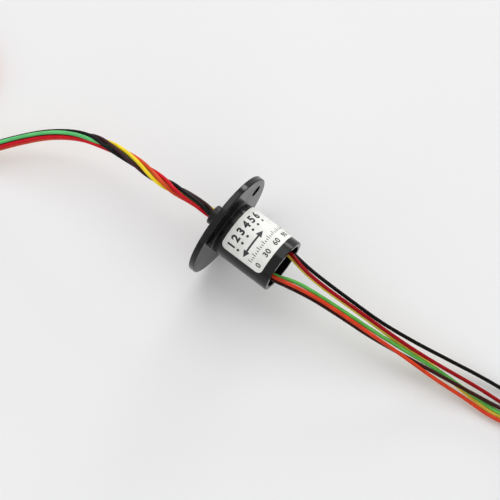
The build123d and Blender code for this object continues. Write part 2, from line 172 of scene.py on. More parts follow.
# Where the points of a tip lie along it; the first is inside the insulation
tip_shares = (-0.15, 0, 0.25, 0.5, 0.75, 1)
stator_entry = Vector((94.5, 7.6, -10.73)) * mm
rotor_entry = Vector((-72.5, -21.5, -10.73)) * mm

# %% [markdown]
# ## Turning a list of points into a wire
#
# A few helpers do the work. The first makes an open NURBS spline from a list of control points.
# Its order is set after the points are added, because set before, Blender lowers it and the line
# comes out straight. The second reads the finished line back as points, by turning a copy without
# thickness into a mesh. With that the script can measure a lead, cut it to its real length, or
# lay a strand beside it. The last gives the points of a flat spiral that starts where the
# straight lead ends.

# %% A helper that makes a smooth open line
def smooth_line(name, points, thickness, steps=8):
    data = bpy.data.curves.new(name, "CURVE")
    data.dimensions = "3D"
    spline = data.splines.new("NURBS")
    spline.points.add(len(points) - 1)
    for point, place in zip(spline.points, points):
        point.co = (*place, 1.0)
        # The box round a curve counts this radius, so it holds the real one and the bevel is 1
        point.radius = thickness / 2
    spline.order_u = 3
    spline.use_endpoint_u = True
    data.resolution_u = steps
    data.bevel_depth = 1.0 if thickness else 0.0
    data.bevel_resolution = 5
    data.use_fill_caps = True
    return new_piece(name, data)


# %% Helpers that read a line back as points and measure it
def line_points(points, steps=8):
    guide = smooth_line("guide", points, 0, steps)
    mesh = bpy.data.meshes.new_from_object(guide)
    places = [v.co.copy() for v in mesh.vertices]
    bpy.data.meshes.remove(mesh)
    bpy.data.objects.remove(guide)
    return places


def line_length(places):
    return sum((b - a).length for a, b in zip(places, places[1:]))


# %% A helper that winds the put-away length
def coil_turns(entry, way, side, inward, height, length):
    """Control points of one lead in the coil, and the points that its bare tip follows."""
    radius = coil_entry_radius - inward
    centre = Vector((entry.x + way * coil_lead_in, entry.y + side * coil_entry_radius, 0))
    spiral = length - coil_lead_in
    end_angle = (radius - math.sqrt(radius ** 2 - 2 * coil_shrink * spiral)) / coil_shrink
    tip_angle = tip_length / (radius - coil_shrink * end_angle)
    count = math.ceil(end_angle / (2 * math.pi) * coil_points_per_turn)
    step = end_angle / count
    # A spline of order 3 runs inside its control points by the half step's cosine
    outset = 1 / math.cos(step / 2)

    def place(angle, scale):
        r = (radius - coil_shrink * angle) * scale
        return Vector((centre.x + way * r * math.sin(angle),
                       centre.y - side * r * math.cos(angle), height))

    lead = [place(step * (n + 0.5), outset) for n in range(count)] + [place(end_angle, 1)]
    tip = [place(end_angle + tip_angle * share, 1) for share in tip_shares]
    return lead, tip


# %% [markdown]
# ## Bare tips
#
# The leads end stripped and tinned, ready to solder. A tip is a handful of fine strands with a
# skin of solder over them, so its section isn't round but has soft lobes, which wind slowly along
# it. A mesh swept along a few points shows that better than a thin smooth rod.

# %% Sizes of a tip
tip_radius, tip_sides, tip_steps = 0.24 * mm, 28, 10
lobes, lobe_depth, lobe_turns_per_mm = 6, 0.07, 0.12
# The last rings close in to these shares of the radius, so that the end is round
closing_shares = (0.35, 0.8)


# %% A helper that makes one bare tip
def bare_tip(name, tip_points):
    """A rod with soft lobes that wind along it."""
    places = line_points(tip_points, tip_steps)
    work = bmesh.new()
    rings = []
    run = 0.0
    for n, place in enumerate(places):
        before, after = places[max(n - 1, 0)], places[min(n + 1, len(places) - 1)]
        along = (after - before).normalized()
        side = along.cross(Vector((0, 0, 1))).normalized()
        lift = side.cross(along)
        run += (place - before).length
        left = len(places) - 1 - n
        shrink = closing_shares[left] if left < len(closing_shares) else 1.0
        ring = []
        wound = 2 * math.pi * lobe_turns_per_mm * run / mm
        for k in range(tip_sides):
            angle = 2 * math.pi * k / tip_sides
            wave = 1 + lobe_depth * math.cos(lobes * (angle + wound))
            offset = side * math.cos(angle) + lift * math.sin(angle)
            ring.append(work.verts.new(place + offset * tip_radius * wave * shrink))
        rings.append(ring)
    for first, second in zip(rings, rings[1:]):
        for k in range(tip_sides):
            work.faces.new((first[k], first[k - 1], second[k - 1], second[k]))
    work.faces.new(rings[0])
    work.faces.new(list(reversed(rings[-1])))
    bmesh.ops.recalc_face_normals(work, faces=work.faces)
    mesh = bpy.data.meshes.new(name)
    work.to_mesh(mesh)
    work.free()
    mesh.shade_smooth()
    return new_piece(name, mesh)


# %% [markdown]
# ## The six fixed leads
#
# Every lead follows its own route to the coil, and then the spiral takes up whatever is left of
# its 250 mm. Where the route ends decides the lead's place in the coil: two lie side by side, on
# three levels. Each lead's own plain solid and the coil's solid are hidden, and the leads are
# drawn in their place.

# %% Make the fixed leads
leads = {}
for colour, route in stator_routes.items():
    inward = stator_entry.y - route[-1][1]
    height = route[-1][2]
    straight = line_length(line_points(route))
    turns, tip_points = coil_turns(stator_entry, 1, -1, inward, height, lead_length - straight)
    lead = smooth_line(f"stator_wire_{colour}", route + turns, lead_diameter)
    tip = bare_tip(f"stator_tip_{colour}", tip_points)
    for piece in (lead, tip):
        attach(piece, "stator")
    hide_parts(f"stator_lead_{colour}", "stator_lead_coil")
    leads["stator", colour] = (lead, tip)
    print(colour, "straight part", round(straight / mm, 1), "mm, turns",
          round(len(turns) / coil_points_per_turn, 2))

# %% [markdown]
# ## The twisted bundle
#
# The six turning leads leave the nose together and wind round one another, but not evenly: near
# the nose they are twisted tightly, and further out the twist opens. Winding six lines by hand
# would be slow and would never look even. Instead, one line is laid for the middle of the bundle
# and read back as points. Round each of those points the strands stand on a small ring, and a
# short table says which strand lies on top at which distance from the nose. Six equal strands
# don't like to lie in a ring, though: one slips into the middle, and the other five close up
# round it. A second table says which strand does so, and where. At the far end the ring opens
# into the coil's three levels of two.

# %% Which strand lies on top, and which one runs in the middle
strand_order = ["black", "green", "red", "orange", "yellow", "brown"]
strand_ring_radius = 0.85 * mm
# Distance from the nose in mm, and the number of the strand on top. Six more is the same strand.
top_strand = [(-3.0, -1.6), (0.0, -0.8), (2.0, -0.2), (4.5, 0.2), (7.0, 0.5), (9.5, 1.4),
              (11.5, 2.3), (15.0, 3.1), (18.6, 3.85), (28.1, 5.33), (32.3, 6.5), (37.0, 7.05),
              (43.0, 7.22), (52.0, 7.28), (82.0, 7.35)]
# Where a strand runs in the middle, in mm from the nose, and the length that it takes to get there
middle_stretches = {"green": (-20.0, 27.0), "brown": (39.0, 200.0)}
never = (1000.0, 1000.0)
migration_length = 7.0
# Above 1, a strand's way in from the ring is steeper than its share of room in it
migration_power = 1.3
opening_start = 62.0
opening_length = 14.0
# Place of each strand in the coil: how many pitches inward, and on which level
coil_places = {"black": (0.5, -1), "red": (-0.5, 1), "orange": (-0.5, 0),
               "yellow": (-0.5, -1), "brown": (0.5, 0), "green": (0.5, 1)}


# %% Helpers that read smooth values out of such tables
def read_table(table, at):
    """A smooth curve through the table's rows. The rows beside each one give its slope."""
    slopes = []
    for n in range(len(table)):
        first, last = table[max(n - 1, 0)], table[min(n + 1, len(table) - 1)]
        slopes.append((last[1] - first[1]) / (last[0] - first[0]))
    n = 0
    while n < len(table) - 2 and at > table[n + 1][0]:
        n += 1
    (x0, y0), (x1, y1) = table[n], table[n + 1]
    gap = x1 - x0
    t = (at - x0) / gap
    return ((2 * t ** 3 - 3 * t ** 2 + 1) * y0 + (t ** 3 - 2 * t ** 2 + t) * gap * slopes[n]
            + (3 * t ** 2 - 2 * t ** 3) * y1 + (t ** 3 - t ** 2) * gap * slopes[n + 1])


def ease(share):
    share = min(max(share, 0), 1)
    return share * share * (3 - 2 * share)


def ring_shares(from_nose):
    """For each strand, 1 where it stands on the ring and 0 where it runs in the middle."""
    shares = []
    for colour in strand_order:
        start, end = middle_stretches.get(colour, never)
        going_in = ease((from_nose - start + migration_length) / migration_length)
        coming_out = ease((from_nose - end) / migration_length)
        shares.append(1 - going_in + coming_out)
    return shares


def ring_places(from_nose):
    """Each strand's angle and distance from the middle. Those on the ring share it evenly."""
    shares = ring_shares(from_nose)
    count = len(shares)
    steps = [(shares[n] + shares[(n + 1) % count]) / 2 for n in range(count)]
    starts = [sum(steps[:n]) for n in range(count)]
    top = read_table(top_strand, from_nose)
    whole = math.floor(top)
    on_top = (starts[whole % count] + (whole // count) * sum(steps)
              + (top - whole) * steps[whole % count])
    return [(2 * math.pi * (on_top - starts[n]) / sum(steps),
             strand_ring_radius * shares[n] ** migration_power) for n in range(count)]


# %% Lay the middle line and measure it
bundle_steps = 16
core_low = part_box("rotor_core")[0]
middle = line_points(bundle_route, bundle_steps)
inside_nose = core_low.x - bundle_route[0][0]
print("bundle", round(line_length(middle) / mm, 1), "mm long")


# %% Wind the six strands round it
def wind_strands():
    """Points of every strand beside the middle line, from inside the nose to the coil's entry."""
    strands = {colour: [] for colour in strand_order}
    run = 0.0
    for n, place in enumerate(middle):
        before, after = middle[max(n - 1, 0)], middle[min(n + 1, len(middle) - 1)]
        run += (place - before).length
        from_nose = (run + inside_nose) / mm
        along = (after - before).normalized()
        side = along.cross(Vector((0, 0, 1))).normalized()
        top = side.cross(along)
        opened_share = ease((from_nose - opening_start) / opening_length)
        for colour, (angle, radius) in zip(strand_order, ring_places(from_nose)):
            wound = (top * math.cos(angle) + side * math.sin(angle)) * radius
            inward, level = coil_places[colour]
            opened = (side * inward + top * level) * lead_pitch
            strands[colour].append(place + wound.lerp(opened, opened_share))
    return strands


# %% [markdown]
# When the rotor turns, the leads turn with it at the nose, but their coil stays on the table: the
# bundle in between takes up the twist. Only a mesh can bend like that, so each finished lead
# becomes a tube of faces. Its place is baked into its points, as are the places of the tips and
# the tie of the coil, which lie past that stretch.


def as_tube(line):
    """The same line as a mesh."""
    name, mesh = line.name, bpy.data.meshes.new_from_object(line)
    bpy.data.objects.remove(line)
    return new_piece(name, mesh)


def let_twist(piece):
    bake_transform(piece)


# %% The tie of the turning leads' coil
coil_tie = new_piece("rotor_coil_tie", nodes["rotor_lead_tie"].data.copy())
let_twist(coil_tie)
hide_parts("rotor_lead_tie")

# %% Make the turning leads
# Every second point of a strand is enough to carry its spline
strand_stride, measuring_steps, strand_steps = 2, 4, 6
for colour, wound in wind_strands().items():
    inward, level = coil_places[colour]
    height = rotor_entry.z + level * lead_pitch
    wound = wound[::strand_stride] + [wound[-1]]
    straight = line_length(line_points(wound, measuring_steps))
    turns, tip_points = coil_turns(rotor_entry, -1, 1, inward * lead_pitch, height,
                                   lead_length - straight)
    line = smooth_line(f"rotor_wire_{colour}", wound + turns, lead_diameter, strand_steps)
    lead = as_tube(line)
    tip = bare_tip(f"rotor_tip_{colour}", tip_points)
    for piece in (lead, tip):
        let_twist(piece)
    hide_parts("rotor_lead_bundle", "rotor_lead_coil")
    line_points(wound + turns, strand_steps)
    leads["rotor", colour] = (lead, tip)
    print(colour, "wound part", round(straight / mm, 1), "mm, tube of",
          len(lead.data.polygons), "faces")

# %% [markdown]
# ## Printing on the label
#
# The label is a thin film on a round body, so its print has to bend with it. It could be a
# picture laid over the surface, but real shapes stay sharp at any distance. Each digit, tick and
# bar is drawn flat, as a thin plate, cut into narrow strips, and then rolled onto the film: the
# distance along the line of print becomes an angle round the body. What is printed is plain: the
# six circuits with a dot under each number, an arrow for the turning, and a scale of degrees
# along the rear edge.

# %% Sizes of the print
film_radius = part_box("label")[1].z
film_edge_angle = math.radians(146.6)
ink_thickness = 0.012 * mm
# The ink starts a little inside the film, so that no gap shows
ink_sunk = ink_thickness / 4
strip_width = 0.25 * mm
merge_distance = 0.002 * mm
straight_angle = 0.01
print_margin = 1.15 * mm
digit_height_share, digit_spacing, digit_steps = 0.7, 1.08, 4


# %% A helper that draws a flat plate from an outline
def add_outline(work, corners, shift=(0, 0)):
    """A flat face from corners in mm along the line of print and across it."""
    verts = [work.verts.new(((x + shift[0]) * mm, (y + shift[1]) * mm, 0)) for x, y in corners]
    work.faces.new(verts)


def add_bar(work, x, y, width, height):
    add_outline(work, [(0, 0), (width, 0), (width, height), (0, height)], (x, y))


def add_dot(work, x, y, radius, sides=20):
    angles = [2 * math.pi * k / sides for k in range(sides)]
    add_outline(work, [(radius * math.cos(a), radius * math.sin(a)) for a in angles], (x, y))


# %% A helper that draws digits
def add_digits(work, text, x, y, height, weight):
    """Digits of a given height in mm, centred on x, with their feet at y."""
    data = bpy.data.curves.new("digits", "FONT")
    data.body = text
    data.size = height / digit_height_share * mm
    data.align_x = "CENTER"
    data.offset = weight * mm
    data.space_character = digit_spacing
    data.resolution_u = digit_steps
    guide = new_piece("digits", data)
    mesh = bpy.data.meshes.new_from_object(guide)
    for v in mesh.vertices:
        v.co.x += x * mm
        v.co.y += y * mm
    work.from_mesh(mesh)
    bpy.data.meshes.remove(mesh)
    bpy.data.objects.remove(guide)
    bpy.data.curves.remove(data)


# %% A helper that rolls a flat drawing onto the film
def roll_onto_film(name, work):
    bmesh.ops.remove_doubles(work, verts=work.verts, dist=merge_distance)
    bmesh.ops.dissolve_limit(work, angle_limit=straight_angle, verts=work.verts, edges=work.edges)
    left = min(v.co.x for v in work.verts)
    right = max(v.co.x for v in work.verts)
    for n in range(1, int((right - left) / strip_width)):
        bmesh.ops.bisect_plane(work, geom=work.verts[:] + work.edges[:] + work.faces[:],
                               plane_co=(left + n * strip_width, 0, 0), plane_no=(1, 0, 0))
    bmesh.ops.triangulate(work, faces=work.faces)
    raised = bmesh.ops.extrude_face_region(work, geom=work.faces[:])
    for v in raised["geom"]:
        if isinstance(v, bmesh.types.BMVert):
            v.co.z += ink_thickness
    for v in work.verts:
        angle = film_edge_angle - v.co.x / film_radius
        radius = film_radius + v.co.z - ink_sunk
        v.co = Vector((-v.co.y, radius * math.cos(angle), radius * math.sin(angle)))
    bmesh.ops.recalc_face_normals(work, faces=work.faces)
    mesh = bpy.data.meshes.new(name)
    work.to_mesh(mesh)
    work.free()
    piece = new_piece(name, mesh)
    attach(piece, "stator")
    print(name, len(mesh.polygons), "faces")
    return piece


# %% Print the numbers of the circuits
circuit_count, first_circuit, circuit_pitch = 6, 0.6, 1.85
number_feet, number_height, number_weight = -4.65, 1.75, 0.1
dot_level, dot_radius = -5.6, 0.3
circuits = bmesh.new()
for n in range(circuit_count):
    middle_x = print_margin / mm + first_circuit + n * circuit_pitch
    add_digits(circuits, str(n + 1), middle_x, number_feet, number_height, number_weight)
    add_dot(circuits, middle_x, dot_level, dot_radius)
circuit_print = roll_onto_film("label_circuits", circuits)

# %% Print the arrow for the turning
arrow_start, arrow_length, arrow_level = print_margin / mm, 7.4, -7.35
shaft_height, head_length, head_height = 0.42, 1.6, 1.5
far_head = arrow_length - head_length
arrow = bmesh.new()
add_outline(arrow, [(0, 0), (head_length, head_height / 2), (head_length, shaft_height / 2),
                    (far_head, shaft_height / 2), (far_head, head_height / 2), (arrow_length, 0),
                    (far_head, -head_height / 2), (far_head, -shaft_height / 2),
                    (head_length, -shaft_height / 2), (head_length, -head_height / 2)],
            (arrow_start, arrow_level))
arrow_print = roll_onto_film("label_arrow", arrow)

# %% Print the scale of degrees
scale_level, long_tick, short_tick, tick_width = -9.55, 0.95, 0.5, 0.17
degrees_feet, degrees_height, degrees_weight, degrees_shift = -11.6, 1.2, 0.045, 0.35
last_degree, tick_every, long_tick_every, number_every = 260, 5, 15, 30
scale_start = print_margin / mm + 0.25
degree_step = film_radius / mm * math.radians(1)
scale = bmesh.new()
for degree in range(0, last_degree + 1, tick_every):
    tick = short_tick if degree % long_tick_every else long_tick
    at = scale_start + degree * degree_step
    add_bar(scale, at - tick_width / 2, scale_level, tick_width, tick)
for degree in range(0, last_degree, number_every):
    at = scale_start + degree * degree_step
    add_digits(scale, str(degree), at + degrees_shift, degrees_feet, degrees_height,
               degrees_weight)
scale_print = roll_onto_film("label_scale", scale)

# %% [markdown]
# ## Effects that several finishes share
#
# Plastic, metal and insulation differ in colour and gloss, but they age in the same ways. Each of
# these effects is built once, as a group of nodes with its own inputs, and then placed in each
# material with other values. A group gives only colours, masks and heights; the shader that they
# feed stays in the material.

# %% Helpers that add nodes to a tree
def add_node(tree, kind, values=None, **settings):
    """A node with settings, and values for its inputs: plain values, or sockets to link from."""
    node = tree.nodes.new(kind)
    for key, value in settings.items():
        setattr(node, key, value)
    for key, value in (values or {}).items():
        if isinstance(value, bpy.types.NodeSocket):
            tree.links.new(value, node.inputs[key])
        else:
            node.inputs[key].default_value = value
    return node


def object_place(tree):
    return tree.nodes.new("ShaderNodeTexCoord").outputs["Object"]


def reckon(tree, operation, *values):
    return add_node(tree, "ShaderNodeMath", dict(enumerate(values)), operation=operation).outputs[0]


def add_noise(tree, place, scale, detail, roughness=0.5, **settings):
    values = {"Vector": place, "Scale": scale, "Detail": detail, "Roughness": roughness}
    return add_node(tree, "ShaderNodeTexNoise", values, **settings).outputs["Fac"]


def spread(tree, value, from_range=(0.0, 1.0), to_range=(0.0, 1.0)):
    """The value carried over from one range to another, and held inside it."""
    values = {"Value": value, "From Min": from_range[0], "From Max": from_range[1],
              "To Min": to_range[0], "To Max": to_range[1]}
    return add_node(tree, "ShaderNodeMapRange", values).outputs[0]


def mix_colours(tree, share, first, second):
    """The first colour where the share is 0, and the second where it is 1."""
    return add_node(tree, "ShaderNodeMix", {0: share, 6: first, 7: second},
                    data_type="RGBA").outputs[2]


# %% Helpers that start and finish a group of nodes
def socket_kind(is_colour):
    return "NodeSocketColor" if is_colour else "NodeSocketFloat"


def start_group(title, inputs):
    """A group, its inputs with their usual values, and the place on the object."""
    group = bpy.data.node_groups.new(title, "ShaderNodeTree")
    for label, value in inputs.items():
        kind = socket_kind(isinstance(value, tuple))
        group.interface.new_socket(label, in_out="INPUT", socket_type=kind).default_value = value
    return group, group.nodes.new("NodeGroupInput").outputs, object_place(group)


def finish_group(group, results):
    for label, source in results.items():
        kind = socket_kind(source.type == "RGBA")
        group.interface.new_socket(label, in_out="OUTPUT", socket_type=kind)
    out = group.nodes.new("NodeGroupOutput")
    for label, source in results.items():
        group.links.new(source, out.inputs[label])
    print("group", group.name, "with", len(group.nodes), "nodes")


# %% [markdown]
# ### Handling: hairline scuffs, cloudy smears and dust
#
# A glossy part that has been handled has three kinds of marks. Hairline scuffs follow the contour
# of a stretched noise, because a thin band round one value of a noise is a fine wandering line.
# Smears are the same noise, large and soft. Dust is the middle of some cells of a fine Voronoi
# pattern.

# %% Build the handling group
noise_middle = 0.5
falling = (1.0, 0.0)
handling, entry, place = start_group("handling", {
    "Scuff scale": 700.0, "Scuff width": 0.012, "Smear scale": 160.0, "Dust scale": 2600.0,
    "Dust share": 0.12})
stretched = add_node(handling, "ShaderNodeMapping", {
    "Vector": place, "Rotation": (0.6, 0.3, 0.9), "Scale": (1.0, 0.18, 0.5)}).outputs[0]
hair = add_noise(handling, stretched, entry["Scuff scale"], detail=1.0)
off_middle = reckon(handling, "ABSOLUTE", reckon(handling, "SUBTRACT", hair, noise_middle))
line = spread(handling, off_middle, from_range=(0.0, entry["Scuff width"]), to_range=falling)
smear = add_noise(handling, place, entry["Smear scale"], detail=4.0, roughness=0.6)
cloud = spread(handling, smear, from_range=(0.42, 0.68))
cells = add_node(handling, "ShaderNodeTexVoronoi", {"Vector": place, "Scale": entry["Dust scale"]})
near = spread(handling, cells.outputs["Distance"], from_range=(0.12, 0.2), to_range=falling)
chance = add_node(handling, "ShaderNodeSeparateColor", {"Color": cells.outputs["Color"]})
kept = reckon(handling, "LESS_THAN", chance.outputs[0], entry["Dust share"])
finish_group(handling, {"Scuffs": reckon(handling, "MULTIPLY", line, cloud), "Smears": cloud,
                        "Dust": reckon(handling, "MULTIPLY", near, kept)})

# %% [markdown]
# ### Grain of a moulded or cast surface
#
# No moulded face is a mirror. A fine noise over a slightly coarser one gives the orange-peel that
# breaks up a reflection. The group gives a height, which each material feeds to its own bump.

# %% Build the grain group
coarse_share = 0.13
grain, entry, place = start_group("grain", {"Scale": 2500.0, "Waviness": 0.4})
fine = add_noise(grain, place, entry["Scale"], detail=3.0)
coarse_scale = reckon(grain, "MULTIPLY", entry["Scale"], coarse_share)
coarse = add_noise(grain, place, coarse_scale, detail=1.0)
blend = add_node(grain, "ShaderNodeMix", {0: entry["Waviness"], 2: fine, 3: coarse})
finish_group(grain, {"Height": blend.outputs[0]})

# %% [markdown]
# ### Lines of a turned surface
#
# Rings, races and the clamp collar are turned on the object's own axis, so their tool marks are
# rings too. A noise that sees only the place along the axis and the distance from it is the same
# all the way round, which is what a lathe leaves.

# %% Build the turned-lines group
lathe, entry, place = start_group("turned lines", {"Scale": 9000.0})
split = add_node(lathe, "ShaderNodeSeparateXYZ", {0: place}).outputs
flat = add_node(lathe, "ShaderNodeCombineXYZ", {1: split["Y"], 2: split["Z"]})
off_axis = add_node(lathe, "ShaderNodeVectorMath", {0: flat.outputs[0]}, operation="LENGTH")
profile = add_node(lathe, "ShaderNodeCombineXYZ", {0: split["X"], 1: off_axis.outputs["Value"]})
lines = add_noise(lathe, profile.outputs[0], entry["Scale"], detail=2.0, noise_dimensions="2D")
finish_group(lathe, {"Height": lines, "Streaks": spread(lathe, lines, from_range=(0.3, 0.7))})

# %% [markdown]
# ### A colour that isn't quite even
#
# Dyed plastic and insulation vary a little in depth from place to place. This group mixes a
# colour with its darker twin by a soft noise.

# %% Build the uneven-colour group
uneven, entry, place = start_group("uneven colour", {
    "Colour": (1.0, 1.0, 1.0, 1.0), "Darker colour": (0.5, 0.5, 0.5, 1.0), "Scale": 250.0,
    "Amount": 0.5})
patch = add_noise(uneven, place, entry["Scale"], detail=3.0)
depth = spread(uneven, patch, from_range=(0.35, 0.65))
weight = reckon(uneven, "MULTIPLY", depth, entry["Amount"])
mixed = mix_colours(uneven, weight, entry["Colour"], entry["Darker colour"])
finish_group(uneven, {"Colour": mixed, "Depth": depth})


# %% [markdown]
# ## Finishes
#
# A colour is easiest to judge on a screen, so the finishes are written as screen colours from 0
# to 255 and turned into the linear values that light works with. Every material has a colour that
# varies, a roughness that marks or streaks disturb, and a bump.

# %% Helpers for colours and materials
def screen_colour(red, green, blue):
    """The linear colour of a screen colour, by the curve of the sRGB standard."""
    def linear(value):
        share = value / 255
        return share / 12.92 if share <= 0.04045 else ((share + 0.055) / 1.055) ** 2.4
    return (linear(red), linear(green), linear(blue), 1.0)


def darker(colour, share):
    return tuple(channel * share for channel in colour[:3]) + (1.0,)


def place_group(tree, group, **values):
    """The outputs of a group that is placed in a material, with values for its inputs."""
    labels = {key.replace("_", " ").capitalize(): value for key, value in values.items()}
    node = tree.nodes.new("ShaderNodeGroup")
    node.node_tree = group
    for label, value in labels.items():
        node.inputs[label].default_value = value
    return node.outputs


input_labels = {"gloss": "Specular IOR Level", "metallic": "Metallic", "roughness": "Roughness"}


def start_material(name, **fixed):
    """A material, its tree and its shader; inputs that are the same all over get their value."""
    material = bpy.data.materials.new(name)
    material.use_nodes = True
    shader = material.node_tree.nodes["Principled BSDF"]
    for label, value in fixed.items():
        shader.inputs[input_labels[label]].default_value = value
    return material, material.node_tree, shader


def give_colour(tree, shader, source):
    tree.links.new(source, shader.inputs["Base Color"])


def vary_roughness(tree, shader, mask, smooth, rough):
    tree.links.new(spread(tree, mask, to_range=(smooth, rough)), shader.inputs["Roughness"])


def add_bump(tree, shader, height, depth_mm, strength=1.0):
    values = {"Height": height, "Distance": depth_mm * mm, "Strength": strength}
    bump = add_node(tree, "ShaderNodeBump", values)
    tree.links.new(bump.outputs["Normal"], shader.inputs["Normal"])


def add_grain(tree, shader, depth_mm, strength=1.0, **values):
    add_bump(tree, shader, place_group(tree, grain, **values)["Height"], depth_mm, strength)


def lay_marks(tree, colour, mask, strength, mark_colour):
    """The colour with marks of another one, which are as strong as said where the mask is 1."""
    return mix_colours(tree, reckon(tree, "MULTIPLY", mask, strength), colour, mark_colour)


# %% [markdown]
# ### Black moulded plastic
#
# The housing is a glossy black moulding. Its reflections are what shows its shape, so the bump is
# very weak, and the scuffs are only a little rougher and lighter than the plastic round them. The
# rotor and the end cap are the same plastic with less polish.

# %% Make the black plastics
scuff_strength, scuff_grey = 0.35, screen_colour(74, 74, 78)
dust_strength, dust_grey = 0.45, screen_colour(150, 148, 144)


def black_plastic(name, colour, smooth, rough, grain_depth_mm, dust_share):
    material, tree, shader = start_material(name, gloss=0.27)
    marks = place_group(tree, handling, dust_share=dust_share)
    tint = place_group(tree, uneven, colour=colour, darker_colour=darker(colour, share=0.6),
                       amount=0.7)
    scuffed = lay_marks(tree, tint["Colour"], marks["Scuffs"], scuff_strength, scuff_grey)
    dusty = lay_marks(tree, scuffed, marks["Dust"], dust_strength, dust_grey)
    give_colour(tree, shader, dusty)
    vary_roughness(tree, shader, marks["Smears"], smooth, rough)
    add_grain(tree, shader, grain_depth_mm, scale=2600.0, waviness=0.5)
    return material


housing_black = black_plastic("housing plastic", screen_colour(12, 12, 14), smooth=0.14,
                              rough=0.24, grain_depth_mm=0.0004, dust_share=0.05)
rotor_black = black_plastic("rotor plastic", screen_colour(15, 15, 17), smooth=0.28,
                            rough=0.4, grain_depth_mm=0.002, dust_share=0.08)
print("made", housing_black.name, "and", rotor_black.name)

# %% [markdown]
# ### Label film and ink
#
# The label is a pale film with a satin face. Fingers have left it slightly grey in places, and
# its scuffs are grey hairlines. The ink is thin and not quite even: where a soft noise is high,
# it is worn to a dark grey.

# %% Make the film and the ink
film, tree, shader = start_material("label film", gloss=0.3)
tint = place_group(tree, uneven, colour=screen_colour(247, 247, 244),
                   darker_colour=screen_colour(226, 226, 220), scale=320.0, amount=0.6)
marks = place_group(tree, handling, smear_scale=420.0, dust_share=0.04)
scuffed = lay_marks(tree, tint["Colour"], marks["Scuffs"], strength=0.3,
                    mark_colour=screen_colour(186, 186, 180))
give_colour(tree, shader, scuffed)
vary_roughness(tree, shader, marks["Smears"], smooth=0.42, rough=0.55)
add_grain(tree, shader, depth_mm=0.006, scale=1800.0)

ink, tree, shader = start_material("label ink")
worn = place_group(tree, uneven, colour=screen_colour(22, 22, 25),
                   darker_colour=screen_colour(66, 66, 70), scale=1500.0, amount=0.6)
give_colour(tree, shader, worn["Colour"])
vary_roughness(tree, shader, worn["Depth"], smooth=0.4, rough=0.6)
add_grain(tree, shader, depth_mm=0.002, scale=6000.0)
print("made", film.name, "and", ink.name)

# %% [markdown]
# ### Insulation of the leads
#
# The leads have a smooth extruded skin in six colours. It is glossy, with long shallow waves
# where the wire was pulled through the die, and small smears from handling. The same recipe
# serves every lead, and only the colour changes. The turning leads have their own set of six
# colours, each a little different from the fixed leads' colours.

# %% Make the insulation in its colours
# Screen colours of each side's leads; the turning leads' set differs a little from the fixed leads'
# set
lead_colours = {"stator": {"black": (6, 6, 7), "green": (104, 200, 88), "red": (160, 6, 20),
                    "orange": (222, 66, 34), "yellow": (255, 222, 84), "brown": (56, 20, 16)},
         "rotor": {"black": (12, 11, 12), "green": (104, 206, 124), "red": (214, 16, 34),
                   "orange": (226, 84, 40), "yellow": (255, 224, 44), "brown": (62, 28, 32)}}


def insulation(name, colour):
    material, tree, shader = start_material(name, gloss=0.15)
    tint = place_group(tree, uneven, colour=colour, darker_colour=darker(colour, share=0.72),
                       scale=420.0, amount=0.6)
    marks = place_group(tree, handling, scuff_scale=1200.0, smear_scale=520.0, dust_share=0.05)
    give_colour(tree, shader, tint["Colour"])
    vary_roughness(tree, shader, marks["Smears"], smooth=0.2, rough=0.36)
    add_grain(tree, shader, depth_mm=0.008, scale=1500.0, waviness=0.8)
    return material


for side, colours in lead_colours.items():
    for colour, values in colours.items():
        material = insulation(f"{side} insulation {colour}", screen_colour(*values))
        leads[side, colour][0].data.materials.append(material)
print("insulation:", sum(len(c) for c in lead_colours.values()), "materials")


# %% [markdown]
# ### Metals
#
# Inside, the current passes over gold-plated rings and wires, and the rotor turns on steel
# bearings. Rings, races, cages and the collar share the lines of the lathe. Balls, brush wires
# and tinned tips have no such marks: they take the fine grain in its place.

# %% Make the metals
def metal(name, colour, smooth, rough, depth_mm, line_scale=None):
    """A metal with the lines of a lathe or, with no scale for them, with a fine grain."""
    material, tree, shader = start_material(name, metallic=1.0)
    darkest, patch_scale = (0.75, 500.0) if line_scale else (0.7, 900.0)
    tint = place_group(tree, uneven, colour=colour, darker_colour=darker(colour, darkest),
                       scale=patch_scale, amount=0.5)
    give_colour(tree, shader, tint["Colour"])
    if line_scale:
        lines = place_group(tree, lathe, scale=line_scale)
        vary_roughness(tree, shader, lines["Streaks"], smooth, rough)
        add_bump(tree, shader, lines["Height"], depth_mm)
    else:
        marks = place_group(tree, handling, smear_scale=900.0)
        vary_roughness(tree, shader, marks["Smears"], smooth, rough)
        add_grain(tree, shader, depth_mm, scale=7000.0)
    return material


# Screen colour, roughness from and to, depth of the marks in mm, and scale of the lathe's lines
metal_values = {"gold plating": ((236, 196, 108), 0.16, 0.3, 0.002, 9000.0),
                "ground bearing steel": ((196, 198, 202), 0.14, 0.28, 0.0015, 14000.0),
                "pressed cage steel": ((178, 178, 180), 0.28, 0.42, 0.003, 5000.0),
                "turned aluminium": ((208, 209, 213), 0.26, 0.4, 0.003, 9000.0),
                "polished ball steel": ((214, 216, 220), 0.05, 0.12, 0.0005),
                "drawn brush wire": ((226, 186, 110), 0.14, 0.24, 0.001),
                "tinned tip": ((204, 205, 204), 0.2, 0.38, 0.006)}
metals = {name: metal(name, screen_colour(*colour), *values)
          for name, (colour, *values) in metal_values.items()}
print("made", len(metals), "metals")

# %% [markdown]
# ### Insulators inside
#
# The discs between the rings are a natural, slightly creamy plastic, and the strips that carry
# the brushes are glass-filled board, green, with the weave of its cloth just under the resin. The
# ties are flat black bands with a fine ribbing across them.

